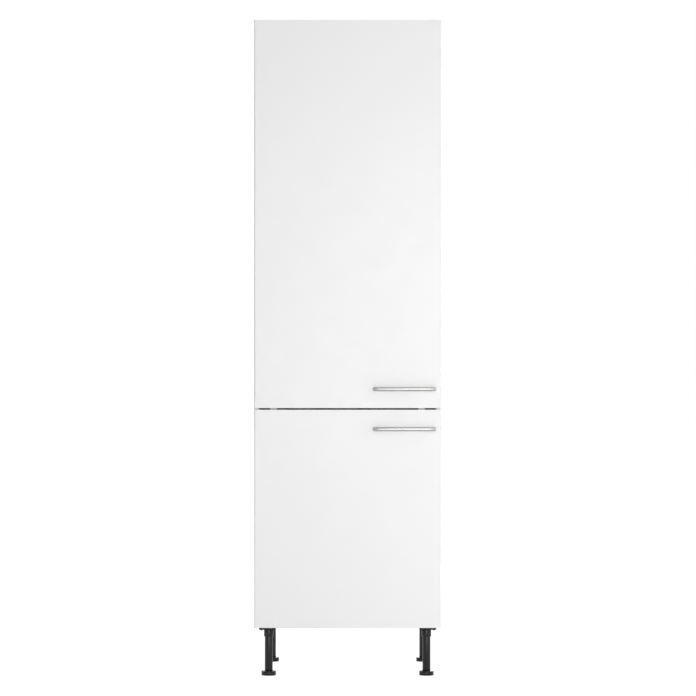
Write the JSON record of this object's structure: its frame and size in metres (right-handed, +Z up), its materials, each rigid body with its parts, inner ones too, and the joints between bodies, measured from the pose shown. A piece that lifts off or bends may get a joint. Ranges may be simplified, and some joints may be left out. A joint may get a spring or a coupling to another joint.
{
  "type": "tall kitchen cabinet",
  "caption": "Tall white kitchen cabinet with a long upper door, a short lower door, bar handles, shelves and adjustable black legs.",
  "frame": {"origin": "on the floor, under the middle of the whole box with its handles", "axes": "+X to the right seen from the front, +Y from the doors to the back, +Z up"},
  "size_m": [0.6, 0.616, 2.112],
  "materials": {
    "door_face": "satin white foil on particle board",
    "door_band": "satin white edge band",
    "carcass_panel": "white melamine on particle board",
    "back_sheet": "white painted hardboard",
    "white_plastic": "moulded white plastic",
    "handle_steel": "fine satin steel",
    "hinge_nickel": "nickel-plated pressed steel",
    "zinc": "zinc-plated steel",
    "beech": "raw beech",
    "black_plastic": "moulded black plastic",
    "clear_pad": "soft clear pad"
  },
  "bodies": {
    "carcass": {"arm_pins": "zinc", "arm_screws": "zinc", "back_joint_strip": "white_plastic", "back_panel_lower": "back_sheet", "back_panel_upper": "back_sheet", "bottom_panel": "carcass_panel", "bracket_screws": "zinc", "cam_bolts": "zinc", "cam_discs": "zinc", "door_stops": "white_plastic", "dowels": "beech", "fixed_shelf": "carcass_panel", "hinge_arms": "hinge_nickel", "hinge_plates": "hinge_nickel", "leg_screws": "zinc", "leg_sockets": "black_plastic", "leg_tubes": "black_plastic", "plate_screws": "zinc", "shelf_lower_1": "carcass_panel", "shelf_pins": "white_plastic", "shelf_upper_1": "carcass_panel", "shelf_upper_2": "carcass_panel", "shelf_upper_3": "carcass_panel", "side_panel_left": "carcass_panel", "side_panel_right": "carcass_panel", "top_panel": "carcass_panel", "wall_brackets": "zinc"},
    "upper_links": {"upper_hinge_links": "hinge_nickel"},
    "upper_door": {"upper_door": "door_face", "upper_door_edging": "door_band", "upper_handle": "handle_steel", "upper_handle_screws": "zinc", "upper_hinge_cups": "hinge_nickel", "upper_cup_pins": "zinc", "upper_cup_screws": "zinc", "upper_door_bumpers": "clear_pad"},
    "lower_links": {"lower_hinge_links": "hinge_nickel"},
    "lower_door": {"lower_door": "door_face", "lower_door_edging": "door_band", "lower_handle": "handle_steel", "lower_handle_screws": "zinc", "lower_hinge_cups": "hinge_nickel", "lower_cup_pins": "zinc", "lower_cup_screws": "zinc", "lower_door_bumpers": "clear_pad"},
    "foot_front_left": {"foot_front_left": "black_plastic"},
    "foot_front_right": {"foot_front_right": "black_plastic"},
    "foot_rear_left": {"foot_rear_left": "black_plastic"},
    "foot_rear_right": {"foot_rear_right": "black_plastic"}
  },
  "joints": [
    {"name": "upper_door_hinge", "type": "hinge", "parent": "upper_links", "child": "upper_door", "pos_m": [-0.289, -0.266, 0.865], "axis": [0, 0, -1], "range_deg": [0, 143]},
    {"name": "upper_links_pivot", "type": "hinge", "parent": "carcass", "child": "upper_links", "pos_m": [-0.2735, -0.255, 0.865], "axis": [0, 0, 1], "range_deg": [0, 33]},
    {"name": "lower_door_hinge", "type": "hinge", "parent": "lower_links", "child": "lower_door", "pos_m": [-0.289, -0.266, 0.16], "axis": [0, 0, -1], "range_deg": [0, 143]},
    {"name": "lower_links_pivot", "type": "hinge", "parent": "carcass", "child": "lower_links", "pos_m": [-0.2735, -0.255, 0.16], "axis": [0, 0, 1], "range_deg": [0, 33]},
    {"name": "foot_front_left_screw", "type": "slide", "parent": "carcass", "child": "foot_front_left", "axis": [0, 0, -1], "range_m": [0, 0.025]},
    {"name": "foot_front_right_screw", "type": "slide", "parent": "carcass", "child": "foot_front_right", "axis": [0, 0, -1], "range_m": [0, 0.025]},
    {"name": "foot_rear_left_screw", "type": "slide", "parent": "carcass", "child": "foot_rear_left", "axis": [0, 0, -1], "range_m": [0, 0.025]},
    {"name": "foot_rear_right_screw", "type": "slide", "parent": "carcass", "child": "foot_rear_right", "axis": [0, 0, -1], "range_m": [0, 0.025]}
  ],
  "couplings": [
    {"joint": "upper_links_pivot", "follows": "upper_door_hinge", "ratio": 0.23077},
    {"joint": "lower_links_pivot", "follows": "lower_door_hinge", "ratio": 0.23077}
  ]
}
